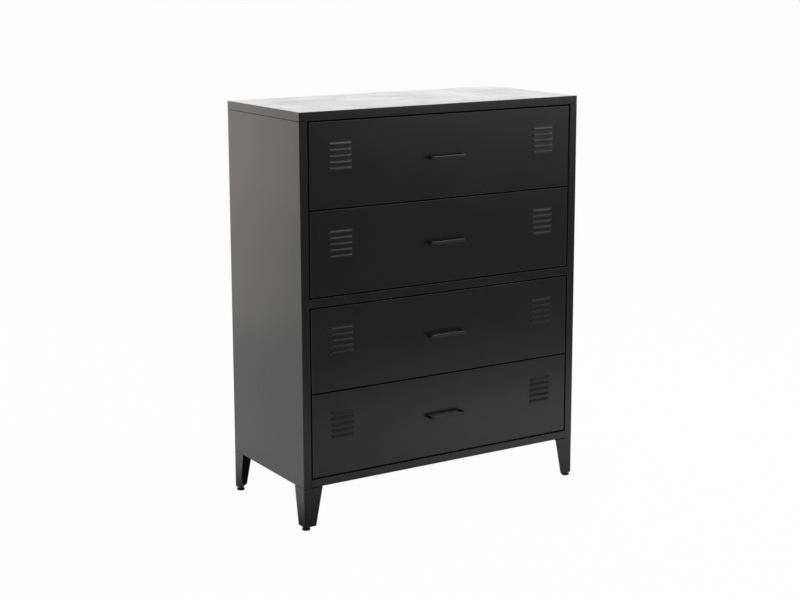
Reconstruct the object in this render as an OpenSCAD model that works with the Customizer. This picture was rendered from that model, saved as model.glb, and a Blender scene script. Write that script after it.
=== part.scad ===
// Small metal drawer cabinet: a folded-steel chest with four vented drawers on ball runners,
// a separate cap, a mid rail, tapered corner legs and screw-in levelling feet.
// Millimetres, +Z up. X = 0 is the middle of the width and Z = 0 the floor. Y = 0 lies halfway
// between the front of the handles and the heads of the screws in the back. The front faces -Y.

/* [Cabinet] */
// Overall width
cabinet_w = 800; // [640:10:1000]
// Depth from the front face to the outside of the back panel
cabinet_d = 368; // [332:4:480]
// Height of the sheet-metal body, from the top of the legs to the top face
body_h = 896; // [780:4:1080]
// Sheet thickness of the cabinet and of the drawer fronts
panel_t = 0.8; // [0.6:0.1:1.1]
// Outside radius of the bends that show
bend_r = 1.5; // [1.2:0.1:2]
// Seam left between pieces that are folded separately
seam = 0.3; // [0.2:0.1:0.6]
// Height of the cap's skirt, which is also the strip above the top drawer
skirt_h = 21; // [18:1:30]
// Width of the return inside the cap's skirt
skirt_return = 12; // [12:1:18]
// Height of the rail between the second and third drawers
rail_h = 21; // [18:1:30]
// Depth of the rail's folded edges
rail_d = 18; // [16:1:24]
// Height of the strip below the bottom drawer
fascia_h = 20; // [16:1:30]
// Depth of the fold along the top of that strip
fascia_return = 15; // [10:1:16]
// Height of the flanges along the sides and back of the bottom panel
floor_flange_h = 24; // [20:1:30]

/* [Posts and side flanges] */
// Width of the post folded on each vertical edge of a side panel
post_w = 21.5; // [20:0.5:26]
// Depth of the front post
post_front_d = 40; // [34:1:48]
// Depth of the rear post
post_rear_d = 30; // [26:1:36]
// Width of the flange along the top of a side panel
side_top_flange = 14; // [13:1:18]
// Width of the flange along the bottom of a side panel
side_bottom_flange = 20; // [19:1:20]
// Width of each stiffening bead in the back panel
bead_w = 26; // [16:1:40]
// Depth of each stiffening bead
bead_out = 3; // [2:0.5:4]
// Distance from the ends of the back panel to the ends of the beads
bead_end = 45; // [35:5:80]
// Distance between the beads
bead_pitch = 400; // [300:10:440]
// Distance from the side of the cabinet to the edge of the back panel
back_inset = 1.6; // [1:0.1:3]

/* [Drawers] */
// Gap round each drawer front
front_gap = 3.5; // [2.5:0.5:5]
// Depth of the folded edges of a drawer front
front_d = 18; // [16:1:19]
// Width of the return round the back of a drawer front
front_return = 22; // [20:1:26]
// Sheet thickness of the drawer boxes
box_t = 0.7; // [0.6:0.1:0.9]
// Height of a drawer box
box_h = 155; // [130:5:160]
// Height of a drawer box's floor above the bottom edge of its front
box_lift = 15; // [12:1:16]
// Width of the rim folded in along the top of a drawer box
box_rim = 8; // [6:1:10]
// Width of the tabs that join a drawer box to its front
box_tab = 12; // [11:1:14]
// Travel of a drawer from shut to fully open
drawer_travel = 225; // [180:5:225]

/* [Louvres] */
// Width of a louvre where it leaves the drawer front
louvre_w = 65; // [40:1:90]
// Height of a louvre
louvre_h = 8.5; // [7:0.5:11]
// How far a louvre's lip stands out
louvre_out = 4; // [3:0.5:5]
// How far each end of a louvre slopes in towards its lip
louvre_slope = 3; // [2:0.5:4]
// Distance from one louvre to the next
louvre_pitch = 14.5; // [13:0.5:18]
// Louvres in each vent
louvre_count = 5; // [3:1:6]
// Distance from the side edge of a drawer front to the middle of a vent
vent_x = 82; // [65:1:140]
// Distance from the top edge of a drawer front to the middle of a vent
vent_z = 81; // [66:1:100]

/* [Handles] */
// Overall length of a handle
handle_w = 102.5; // [80:0.5:160]
// Height of the handle bar
handle_h = 7.5; // [6.5:0.5:12]
// Thickness of the handle bar
handle_t = 6.5; // [6:0.5:8]
// How far a handle stands out from its drawer front
handle_out = 22; // [17:0.5:35]
// Radius of the handle's corners, to the middle of the bar
handle_bend = 6; // [5:0.5:9]
// Radius along the edges of the handle bar
handle_edge = 1.8; // [1:0.2:2.4]

/* [Runners] */
// Thickness of the runner steel
runner_t = 1; // [0.8:0.1:1.2]
// Height of the cabinet half of a runner
runner_h = 35; // [32:1:42]
// Width taken by a closed runner between the post and the drawer box
runner_w = 12.7; // [12:0.1:14]
// Depth of the cabinet half of a runner
runner_channel = 9; // [8.6:0.1:10]
// Height of the lips on the cabinet half
runner_lip = 2.5; // [1.5:0.5:3]
// Distance from the front face to the front end of a runner
runner_front = 20; // [19.5:0.5:22]
// Distance from the rear end of a runner to the outside of the back panel
runner_back = 15; // [12:1:20]
// Height of a runner's middle above the bottom edge of its drawer front
runner_z = 60; // [45:1:110]
// Ball diameter
ball_d = 4; // [3.6:0.1:4.4]
// Clearance between the balls and their tracks
ball_gap = 0.3; // [0.2:0.05:0.4]
// Balls in each row
balls_per_row = 6; // [4:1:8]
// Thickness of the ball cage
cage_t = 0.6; // [0.4:0.1:0.8]
// Length of the hooks that hold a runner in the posts
hook_l = 5; // [3:0.5:8]
// Height of those hooks
hook_h = 12; // [8:1:16]

/* [Legs and feet] */
// Height of a leg
leg_h = 96; // [70:1:150]
// Width of a leg's front or back at the top
leg_top = 51; // [46:1:60]
// Width of a leg's front or back at the bottom
leg_foot = 32; // [29:1:40]
// Depth of a leg's side at the top
leg_top_d = 46; // [44.5:0.5:60]
// Depth of a leg's side at the bottom
leg_foot_d = 29; // [27:1:40]
// Sheet thickness of the legs
leg_t = 1.5; // [1.2:0.1:2]
// Radius of the fold along the top of a leg
leg_fold = 2.5; // [2:0.1:3]
// Radius of a foot's pad
foot_r = 10; // [8:0.5:10]
// Thickness of a foot's pad
foot_pad_h = 5; // [4:0.5:8]
// Radius of the collar above the pad
foot_collar_r = 5.5; // [5:0.5:6]
// Height of the collar, which leaves the leg this far above the pad
foot_collar_h = 3; // [3:0.5:10]
// Distance from the outside of a leg to the middle of its foot
foot_inset = 10; // [10:0.5:11]
// Radius of the foot's threaded stud
stud_r = 4; // [3:0.5:4]
// Length of stud inside the leg, above the nut
stud_spare = 14; // [12:1:30]

/* [Fasteners] */
// Radius of the small screws' thread
screw_r = 2; // [1.5:0.1:2]
// Length of the small screws
screw_l = 8; // [6:0.5:9]
// Radius of the small screws' heads
screw_head_r = 3.8; // [3:0.1:4]
// Height of the small screws' heads
screw_head_h = 2.4; // [1.8:0.1:2.6]
// Radius of the leg screws' thread
leg_screw_r = 3; // [2.5:0.1:3]
// Length of the leg screws
leg_screw_l = 10; // [9:0.5:14]
// Radius of the leg screws' heads
leg_screw_head_r = 5.5; // [5:0.1:6]
// Height of the leg screws' heads
leg_screw_head_h = 3.6; // [3:0.1:4]
// Distance from a leg's corner to the middle of its nearest screw
leg_screw_near = 14; // [13:0.5:14]
// Distance from a leg's corner to the middle of its far screws
leg_screw_far = 38; // [36:0.5:39]
// Clearance round a screw in a plain hole
screw_clear = 0.15; // [0.1:0.05:0.3]
// Clearance round a thread in its tapped hole or nut
thread_clear = 0.05; // [0.02:0.01:0.1]
// Height of the nuts on the leg screws
leg_nut_h = 5; // [4:0.5:6]
// Height of the nuts on the feet
foot_nut_h = 6.5; // [5:0.5:8]

/* [Hidden] */
$fn = 48;
cut = 0.5;                  // how far a cutting shape runs past the face that it cuts
drawer_count = 4;
drawers_over_rail = 2;      // the rail lies below the second drawer
fold_r = bend_r * 0.8;      // tighter folds along the seams, the rail and the bottom strip
nut_ratio = 1.9;            // radius of a nut across its corners, to that of its thread

black = [0.12, 0.12, 0.12];
dark = [0.08, 0.08, 0.08];
zinc = [0.74, 0.75, 0.77];

// Depth: the part runs from the handles' fronts to the heads of the screws in the back
y_face = (handle_out - cabinet_d - screw_head_h) / 2;
y_back = y_face + cabinet_d;
x_side = cabinet_w / 2;
x_post = x_side - post_w;                 // inner face of each post

// Heights
z_leg = foot_pad_h + foot_collar_h;       // underside of the legs
z_body = z_leg + leg_h;                   // underside of the body
z_top = z_body + body_h;
z_cap = z_top - skirt_h;                  // bottom edge of the cap's skirt
z_side = z_cap - seam;                    // top of the side and back panels
z_floor = z_body + panel_t;               // the bottom panel lies on the side panels' flanges
z_floor_top = z_floor + panel_t;

// Drawer fronts share the height that the cap, the rail, the bottom strip and the gaps leave
gap_count = drawer_count + 2;
front_h = (body_h - skirt_h - rail_h - fascia_h - gap_count * front_gap) / drawer_count;
front_w = 2 * (x_post - front_gap);
function front_z(i) =
    z_cap - i * (front_h + front_gap) - (i > drawers_over_rail ? rail_h + front_gap : 0);
rail_z = front_z(drawers_over_rail) - front_gap - rail_h;

// Runners, and the drawer boxes that they leave room for
y_runner = y_face + runner_front;
runner_l = cabinet_d - runner_front - runner_back;
y_runner_end = y_runner + runner_l;
x_box = x_post - runner_w;                // outside of a drawer box
ball_z = runner_h / 2 - runner_t - ball_gap - ball_d / 2;   // ball rows above and below the middle
member_h = 2 * (ball_z - ball_d / 2 - ball_gap);            // height of the drawer half
cage_web = 0.4;                           // from the cabinet half's web to the cage's
cage_x = runner_t + cage_web;
member_x = cage_x + cage_t + cage_web;    // edge of the drawer half's flanges
ball_x = (member_x + runner_channel - runner_t) / 2;
ball_hole_clear = 0.1;
ball_hole_r = ball_d / 2 + ball_hole_clear;
cage_edge = 0.3;                          // steel left beside the ball holes
cage_w = ball_x + ball_hole_r + cage_edge - cage_x;
cage_end = 3;                             // left between a cage and the ends of the tracks
cage_l = runner_l - drawer_travel - 2 * cage_end;
y_cage = y_runner + drawer_travel / 2 + cage_end;
ball_end = 8;                             // from a cage's end to the middle of its first ball
ball_pitch = (cage_l - 2 * ball_end) / (balls_per_row - 1);
hook_clear = 0.2;
hook_front = 10;                          // from a runner's ends to its hooks
hook_back = 8;
hook_ys = [y_runner + hook_front, y_runner_end - hook_back];

// Fastener places
screw_hole_r = screw_r + screw_clear;
tapped_r = screw_r + thread_clear;
leg_screw_hole_r = leg_screw_r + screw_clear;
leg_screw_spots = [[leg_screw_near, leg_screw_near], [leg_screw_far, leg_screw_near],
                   [leg_screw_near, leg_screw_far]];
cap_screw_in = 8;                         // from the side to the cap's screws
cap_screw_x = x_side - cap_screw_in;
cap_screw_end = 60;                       // from the front and back to the nearest of them
cap_screw_ys = [y_face + cap_screw_end, (y_face + y_back) / 2, y_back - cap_screw_end];
back_screw_x = x_side - post_w / 2;
back_screw_end = 40;
back_screw_rows = 5;
back_screw_pitch = (z_side - z_body - 2 * back_screw_end) / (back_screw_rows - 1);
back_screw_zs = [for (n = [0:back_screw_rows - 1]) z_body + back_screw_end + n * back_screw_pitch];
back_low_apart = 250;
back_low_xs = [-back_low_apart, 0, back_low_apart];
back_low_z = z_floor_top + floor_flange_h / 2;
floor_screw_in = 13;
floor_screw_x = x_side - floor_screw_in;
floor_screw_apart = 60;
floor_screw_ys = [for (s = [-1, 1]) (y_face + y_back) / 2 + s * floor_screw_apart];
rail_screw_in = 11;                       // from the front face to the screws in the rail's ends
rail_screw_y = y_face + rail_screw_in;
tab_screw_x = x_box - box_tab / 2 - box_t;
tab_screw_end = 30;
tab_screw_zs = [tab_screw_end, box_h - tab_screw_end];      // above a drawer box's floor
runner_screw_front = 60;
runner_screw_rear = 45;
runner_screw_ys = [y_runner + runner_screw_front, y_runner_end - runner_screw_rear];
thread_spare = 1;                         // depth of a blind thread beyond its screw
handle_screw_x = handle_w / 2 - handle_t / 2;

// Feet: the stud stands in the pad's socket and passes through the leg and its nut
stud_floor = 2;                           // pad left below the stud
stud_l = z_leg + leg_t + foot_nut_h + stud_spare - stud_floor;
foot_nut_r = stud_r * nut_ratio;
leg_nut_r = leg_screw_r * nut_ratio;
leg_plate_cut = 23;                       // cut from the inner corner of a leg's top plate
box_foot_tab = 10;                        // height of the tab below a drawer box's floor

DRAWERS = [1:drawer_count];
SIDES = ["left", "right"];
CORNERS = ["front_left", "front_right", "rear_left", "rear_right"];

// ---------------------------------------------------------------- shared shapes

// A block between two limits on each axis
module block(x, y, z) {
    translate([x[0], y[0], z[0]]) cube([x[1] - x[0], y[1] - y[0], z[1] - z[0]]);
}

// A block and its mirror image across the middle of the width
module block_pair(x, y, z) {
    block(x, y, z);
    mirror([1, 0, 0]) block(x, y, z);
}

// What a rounded edge loses, in section: the metal lies towards side_a and side_b (1 or -1)
module edge_waste(side_a, side_b, r) {
    difference() {
        translate([side_a > 0 ? -cut : -r, side_b > 0 ? -cut : -r]) square(r + cut);
        translate([side_a * r, side_b * r]) circle(r);
    }
}

module edge_x(x, y, z, to_y, to_z, r) {
    translate([x[0] - cut, y, z]) rotate([90, 0, 90])
        linear_extrude(x[1] - x[0] + 2 * cut) edge_waste(to_y, to_z, r);
}

module edge_y(x, y, z, to_x, to_z, r) {
    translate([x, y[1] + cut, z]) rotate([90, 0, 0])
        linear_extrude(y[1] - y[0] + 2 * cut) edge_waste(to_x, to_z, r);
}

module edge_z(x, y, z, to_x, to_y, r) {
    translate([x, y, z[0] - cut])
        linear_extrude(z[1] - z[0] + 2 * cut) edge_waste(to_x, to_y, r);
}

module hole_x(x, y, z, r) {
    translate([x[0] - cut, y, z]) rotate([0, 90, 0]) cylinder(h = x[1] - x[0] + 2 * cut, r = r);
}

module hole_y(x, y, z, r) {
    translate([x, y[1] + cut, z]) rotate([90, 0, 0]) cylinder(h = y[1] - y[0] + 2 * cut, r = r);
}

module hole_z(x, y, z, r) {
    translate([x, y, z[0] - cut]) cylinder(h = z[1] - z[0] + 2 * cut, r = r);
}

// Pan-head screw standing on its head: the head bears at z = 0 and the thread runs up
module pan_screw(r, l, head_r, head_h) {
    rim = head_h * 0.55;
    slot_w = head_r * 0.22;
    slot_l = head_r * 1.1;
    slot_d = head_h * 0.45;
    crown_r = head_r * 0.62;
    difference() {
        union() {
            cylinder(h = l, r = r);
            translate([0, 0, -rim]) cylinder(h = rim, r = head_r);
            translate([0, 0, -head_h]) cylinder(h = head_h - rim, r1 = crown_r, r2 = head_r);
        }
        for (turn = [0, 90]) rotate([0, 0, turn])
            block([-slot_l / 2, slot_l / 2], [-slot_w / 2, slot_w / 2], [-head_h - cut, slot_d - head_h]);
    }
}

module small_screw() {
    pan_screw(screw_r, screw_l, screw_head_r, screw_head_h);
}

module hex_nut(across_r, hole_r, h) {
    difference() {
        cylinder(h = h, r = across_r, $fn = 6);
        hole_z(0, 0, [0, h], hole_r);
    }
}

module flip_x(on) {
    if (on) mirror([1, 0, 0]) children();
    else children();
}

module flip_y(on) {
    if (on) mirror([0, 1, 0]) children();
    else children();
}

// Puts a piece drawn at the front-left corner, with that corner at its origin, at any corner
module at_corner(c) {
    right = c == "front_right" || c == "rear_right";
    rear = c == "rear_left" || c == "rear_right";
    translate([right ? x_side : -x_side, rear ? y_back : y_face, 0])
        flip_x(right) flip_y(rear) children();
}

// ---------------------------------------------------------------- cabinet body

// Cap: a lid folded down on all four sides, with a return inside the skirt
module top_panel() {
    x = [-x_side, x_side];
    y = [y_face, y_back];
    z = [z_cap, z_top];
    color(black) difference() {
        block(x, y, z);
        block([x[0] + panel_t, x[1] - panel_t], [y[0] + panel_t, y[1] - panel_t],
              [z[0] + panel_t, z[1] - panel_t]);
        block([x[0] + skirt_return, x[1] - skirt_return], [y[0] + skirt_return, y[1] - skirt_return],
              [z[0] - cut, z[0] + panel_t + cut]);
        for (s = [-1, 1]) {
            edge_y(s * x_side, y, z_top, -s, -1, bend_r);
            edge_y(s * x_side, y, z_cap, -s, 1, fold_r);
            edge_z(s * x_side, y_face, z, -s, 1, bend_r);
            edge_z(s * x_side, y_back, z, -s, -1, bend_r);
            for (yy = cap_screw_ys) hole_z(s * cap_screw_x, yy, [z_cap, z_cap + panel_t], tapped_r);
        }
        edge_x(x, y_face, z_top, 1, -1, bend_r);
        edge_x(x, y_back, z_top, -1, -1, bend_r);
        edge_x(x, y_face, z_cap, 1, 1, fold_r);
        edge_x(x, y_back, z_cap, -1, 1, fold_r);
    }
}

// Side panel, drawn for the left: a skin with a box post folded on its front and rear edges
module side_panel() {
    skin_x = [-x_side, -x_side + panel_t];
    cheek_x = [-x_post - panel_t, -x_post];
    face_x = [-x_side, -x_post];
    skin_y = [y_face, y_back - panel_t];
    z = [z_body, z_side];
    cheek_z = [z_floor_top + seam, z_side];
    front_cheek = [y_face, y_face + post_front_d];
    rear_cheek = [skin_y[1] - post_rear_d, skin_y[1]];
    difference() {
        union() {
            block(skin_x, skin_y, z);
            block(face_x, [skin_y[0], skin_y[0] + panel_t], z);
            block(face_x, [skin_y[1] - panel_t, skin_y[1]], z);
            block(cheek_x, front_cheek, cheek_z);
            block(cheek_x, rear_cheek, cheek_z);
            block([-x_side, -x_side + side_top_flange], skin_y, [z_side - panel_t, z_side]);
            block([-x_side, -x_side + side_bottom_flange], skin_y, [z_body, z_body + panel_t]);
        }
        edge_z(-x_side, y_face, z, 1, 1, bend_r);
        edge_z(-x_side, skin_y[1], z, 1, -1, bend_r);
        edge_y(-x_side, skin_y, z_side, 1, -1, fold_r);
        edge_y(-x_side, skin_y, z_body, 1, 1, fold_r);
        for (yy = cap_screw_ys) hole_z(-cap_screw_x, yy, [z_side - panel_t, z_side], screw_hole_r);
        for (yy = floor_screw_ys) hole_z(-floor_screw_x, yy, [z_body, z_body + panel_t], screw_hole_r);
        for (zz = back_screw_zs)
            hole_y(-back_screw_x, [skin_y[1] - panel_t, skin_y[1]], zz, tapped_r);
        for (i = DRAWERS, yy = hook_ys)
            block([cheek_x[0] - cut, cheek_x[1] + cut], [yy - hook_clear, yy + runner_t + hook_clear],
                  [front_z(i) + runner_z - hook_h / 2 - hook_clear,
                   front_z(i) + runner_z + hook_h / 2 + hook_clear]);
        hole_x(cheek_x, rail_screw_y, rail_z + rail_h / 2, tapped_r);
        leg_screw_holes("front_left");
        leg_screw_holes("rear_left");
    }
}

module left_side_panel() {
    color(black) side_panel();
}

module right_side_panel() {
    color(black) mirror([1, 0, 0]) side_panel();
}

// Holes for a leg's screws through everything that lies on the leg
module leg_screw_holes(c) {
    at_corner(c) for (spot = leg_screw_spots)
        hole_z(spot[0], spot[1], [z_body, z_floor_top], leg_screw_hole_r);
}

// A stiffening bead's outline, looking down on it
module bead_outline(w, out) {
    polygon([[-w / 2, 0], [w / 2, 0], [w / 2 - bead_out, -out], [-w / 2 + bead_out, -out]]);
}

// Back panel: a flat sheet on the rear posts, with two beads pressed into it
module back_panel() {
    x = [-x_side + back_inset, x_side - back_inset];
    y = [y_back - panel_t, y_back];
    z = [z_body, z_side];
    bead_z = [z_body + bead_end, z_side - bead_end];
    color(black) difference() {
        union() {
            block(x, y, z);
            for (s = [-1, 1]) translate([s * bead_pitch / 2, y[0], bead_z[0]])
                linear_extrude(bead_z[1] - bead_z[0]) bead_outline(bead_w, bead_out);
        }
        for (s = [-1, 1]) translate([s * bead_pitch / 2, y[1], bead_z[0] + panel_t])
            linear_extrude(bead_z[1] - bead_z[0] - 2 * panel_t)
                bead_outline(bead_w - 2 * panel_t, bead_out);
        for (s = [-1, 1], zz = back_screw_zs) hole_y(s * back_screw_x, y, zz, screw_hole_r);
        for (xx = back_low_xs) hole_y(xx, y, back_low_z, screw_hole_r);
    }
}

// Bottom panel: a floor on the side panels' flanges, with the strip below the bottom drawer
module bottom_panel() {
    wide = [-x_side + panel_t + seam, x_side - panel_t - seam];
    narrow = [-x_post + seam, x_post - seam];
    y_in = [y_face + panel_t + seam, y_back - 2 * panel_t - seam];
    y_rear = y_back - panel_t;
    z_strip = z_body + fascia_h;
    color(black) difference() {
        union() {
            block(wide, y_in, [z_floor, z_floor_top]);
            block(narrow, [y_face, y_rear], [z_floor, z_floor_top]);
            block(narrow, [y_face, y_face + panel_t], [z_floor, z_strip]);
            block(narrow, [y_face, y_face + fascia_return], [z_strip - panel_t, z_strip]);
            block(narrow, [y_rear - panel_t, y_rear], [z_floor, z_floor_top + floor_flange_h]);
            block_pair([wide[1] - panel_t, wide[1]], y_in, [z_floor, z_floor_top + floor_flange_h]);
        }
        edge_x(narrow, y_face, z_strip, 1, -1, fold_r);
        edge_x(narrow, y_face, z_floor, 1, 1, fold_r);
        for (s = [-1, 1], yy = floor_screw_ys)
            hole_z(s * floor_screw_x, yy, [z_floor, z_floor_top], tapped_r);
        for (xx = back_low_xs) hole_y(xx, [y_rear - panel_t, y_rear], back_low_z, tapped_r);
        for (c = CORNERS) leg_screw_holes(c);
    }
}

// Rail between the posts, a shallow tray that opens to the back, with a tab at each end
module middle_rail() {
    x = [-x_post, x_post];
    y = [y_face, y_face + rail_d];
    z = [rail_z, rail_z + rail_h];
    color(black) difference() {
        block(x, y, z);
        block([x[0] + panel_t, x[1] - panel_t], [y[0] + panel_t, y[1] + cut],
              [z[0] + panel_t, z[1] - panel_t]);
        edge_x(x, y_face, z[1], 1, -1, fold_r);
        edge_x(x, y_face, z[0], 1, 1, fold_r);
        for (s = [-1, 1])
            hole_x([s * x_post - panel_t, s * x_post + panel_t], rail_screw_y, rail_z + rail_h / 2,
                   screw_hole_r);
    }
}

// Small screws that hold the cap, the back, the floor and the rail to the side panels
module panel_screws() {
    color(zinc) {
        for (s = [-1, 1]) {
            for (yy = cap_screw_ys) translate([s * cap_screw_x, yy, z_side - panel_t]) small_screw();
            for (yy = floor_screw_ys) translate([s * floor_screw_x, yy, z_body]) small_screw();
            for (zz = back_screw_zs)
                translate([s * back_screw_x, y_back, zz]) rotate([90, 0, 0]) small_screw();
            translate([s * (x_post - panel_t), rail_screw_y, rail_z + rail_h / 2])
                rotate([0, s * 90, 0]) small_screw();
        }
        for (xx = back_low_xs)
            translate([xx, y_back, back_low_z]) rotate([90, 0, 0]) small_screw();
    }
}

// ---------------------------------------------------------------- legs and feet

// One side of a leg, tapered from its width at the top to its width at the foot
module leg_side(top, foot) {
    translate([0, leg_t, 0]) rotate([90, 0, 0]) linear_extrude(leg_t)
        polygon([[0, 0], [foot, 0], [top, leg_h], [0, leg_h]]);
}

// Leg, drawn for the front-left corner: two tapered sides, a top plate and a foot plate
module leg(c) {
    color(black) at_corner(c) translate([0, 0, z_leg]) difference() {
        union() {
            leg_side(leg_top, leg_foot);
            mirror([1, -1, 0]) leg_side(leg_top_d, leg_foot_d);
            translate([0, 0, leg_h - leg_t]) linear_extrude(leg_t)
                polygon([[0, 0], [leg_top, 0], [leg_top, leg_top_d - leg_plate_cut],
                         [leg_top - leg_plate_cut, leg_top_d], [0, leg_top_d]]);
            linear_extrude(leg_t) polygon([[0, 0], [leg_foot, 0], [0, leg_foot_d]]);
        }
        edge_z(0, 0, [0, leg_h], 1, 1, bend_r);
        edge_x([0, leg_top], 0, leg_h, 1, -1, leg_fold);
        edge_y(0, [0, leg_top_d], leg_h, 1, -1, leg_fold);
        edge_x([0, leg_foot], 0, 0, 1, 1, bend_r);
        edge_y(0, [0, leg_foot_d], 0, 1, 1, bend_r);
        hole_z(foot_inset, foot_inset, [0, leg_t], stud_r + screw_clear);
        for (spot = leg_screw_spots)
            hole_z(spot[0], spot[1], [leg_h - leg_t, leg_h], leg_screw_hole_r);
    }
}

module leg_screws() {
    color(zinc) for (c = CORNERS) at_corner(c) for (spot = leg_screw_spots)
        translate([spot[0], spot[1], z_body - leg_t])
            pan_screw(leg_screw_r, leg_screw_l, leg_screw_head_r, leg_screw_head_h);
}

module leg_nuts() {
    color(zinc) for (c = CORNERS) at_corner(c) for (spot = leg_screw_spots)
        translate([spot[0], spot[1], z_floor_top])
            hex_nut(leg_nut_r, leg_screw_r + thread_clear, leg_nut_h);
}

module foot_nuts() {
    color(zinc) for (c = CORNERS) at_corner(c)
        translate([foot_inset, foot_inset, z_leg + leg_t])
            hex_nut(foot_nut_r, stud_r + thread_clear, foot_nut_h);
}

// Pad: a moulded disc and collar, with a socket that grips the stud
module foot_pad(c) {
    bevel = foot_pad_h * 0.2;
    color(dark) at_corner(c) translate([foot_inset, foot_inset, 0]) difference() {
        union() {
            cylinder(h = bevel, r1 = foot_r - bevel, r2 = foot_r);
            translate([0, 0, bevel]) cylinder(h = foot_pad_h - 2 * bevel, r = foot_r);
            translate([0, 0, foot_pad_h - bevel]) cylinder(h = bevel, r1 = foot_r, r2 = foot_r - bevel);
            cylinder(h = z_leg, r = foot_collar_r);
        }
        translate([0, 0, stud_floor]) cylinder(h = z_leg, r = stud_r + thread_clear);
    }
}

module foot_stud(c) {
    color(zinc) at_corner(c) translate([foot_inset, foot_inset, stud_floor])
        cylinder(h = stud_l, r = stud_r);
}

// ---------------------------------------------------------------- runners

// Cabinet half, drawn for the left: a lipped channel hooked into the front and rear posts
module cabinet_runner(i) {
    x = -x_post;
    y = [y_runner, y_runner_end];
    half = runner_h / 2;
    lip = runner_t + runner_lip;
    color(zinc) translate([0, 0, front_z(i) + runner_z]) {
        block([x, x + runner_t], y, [-half, half]);
        for (z = [[-half, runner_t - half], [half - runner_t, half]])
            block([x, x + runner_channel], y, z);
        for (z = [[-half, lip - half], [half - lip, half]])
            block([x + runner_channel - runner_t, x + runner_channel], y, z);
        for (yy = hook_ys)
            block([x - panel_t - hook_l, x + runner_t], [yy, yy + runner_t],
                  [-hook_h / 2, hook_h / 2]);
    }
}

// Drawer half, drawn for the left: a smaller channel screwed to the drawer box
module drawer_runner(i) {
    x = [-x_post + member_x, -x_box];
    y = [y_runner, y_runner_end];
    middle = front_z(i) + runner_z;
    z = [middle - member_h / 2, middle + member_h / 2];
    color(zinc) difference() {
        block(x, y, z);
        block([x[0] - cut, x[1] - runner_t], [y[0] - cut, y[1] + cut],
              [z[0] + runner_t, z[1] - runner_t]);
        for (yy = runner_screw_ys) hole_x([x[1] - runner_t, x[1]], yy, middle, tapped_r);
    }
}

// Ball cage, drawn for the left: a channel between the two halves, with its balls in two rows
module ball_cage(i) {
    x = -x_post;
    middle = front_z(i) + runner_z;
    half = ball_z + cage_t / 2;
    inside = ball_z - cage_t / 2;
    web = [x + cage_x, x + cage_x + cage_t];
    ball_ys = [for (n = [0:balls_per_row - 1]) y_cage + ball_end + n * ball_pitch];
    difference() {
        block([web[0], web[0] + cage_w], [y_cage, y_cage + cage_l], [middle - half, middle + half]);
        block([web[1], web[1] + cage_w], [y_cage - cut, y_cage + cage_l + cut],
              [middle - inside, middle + inside]);
        for (yy = ball_ys) hole_z(x + ball_x, yy, [middle - half, middle + half], ball_hole_r);
    }
    for (s = [-1, 1], yy = ball_ys)
        translate([x + ball_x, yy, middle + s * ball_z]) sphere(d = ball_d);
}

module ball_cages(i) {
    color(zinc) {
        ball_cage(i);
        mirror([1, 0, 0]) ball_cage(i);
    }
}

// ---------------------------------------------------------------- drawers

// One louvre, with its top edge at the origin: it leans out of the front and is open below
module louvre_hood() {
    skin = panel_t;
    intersection() {
        translate([-louvre_w / 2 - cut, 0, 0]) rotate([90, 0, 90]) linear_extrude(louvre_w + 2 * cut)
            polygon([[skin, 0], [0, 0], [-louvre_out, -louvre_h], [skin, -louvre_h]]);
        translate([0, 0, -louvre_h - cut]) linear_extrude(louvre_h + 2 * cut)
            polygon([[-louvre_w / 2, skin], [louvre_w / 2, skin], [louvre_w / 2, 0],
                     [louvre_w / 2 - louvre_slope, -louvre_out],
                     [-louvre_w / 2 + louvre_slope, -louvre_out], [-louvre_w / 2, 0]]);
    }
}

// The space inside a louvre, which also cuts its slot through the front
module louvre_space() {
    lean = atan(louvre_out / louvre_h);
    hood_t = panel_t / cos(lean);                           // hood thickness, front to back
    cheek_t = panel_t / cos(atan(louvre_slope / louvre_out));
    behind = panel_t + cut;
    top = (behind - hood_t) * louvre_h / louvre_out;
    lip = -louvre_out + hood_t;
    slot = 0.2;                                             // the slot ends this far below the lip
    wide = louvre_w / 2 - cheek_t + louvre_slope * behind / louvre_out;
    narrow = louvre_w / 2 - cheek_t - louvre_slope;
    intersection() {
        translate([-louvre_w, 0, 0]) rotate([90, 0, 90]) linear_extrude(2 * louvre_w)
            polygon([[behind, top], [lip, -louvre_h], [lip, -louvre_h - slot], [behind, -louvre_h - slot]]);
        translate([0, 0, -louvre_h - cut]) linear_extrude(louvre_h + top + 2 * cut)
            polygon([[-wide, behind], [wide, behind], [narrow, -louvre_out], [-narrow, -louvre_out]]);
    }
}

// Puts a louvre at each of its places on drawer front i
module at_louvres(i) {
    block_h = (louvre_count - 1) * louvre_pitch + louvre_h;
    first = front_z(i) + front_h - vent_z + block_h / 2;
    for (s = [-1, 1], n = [0:louvre_count - 1])
        translate([s * (front_w / 2 - vent_x), y_face, first - n * louvre_pitch]) children();
}

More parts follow.
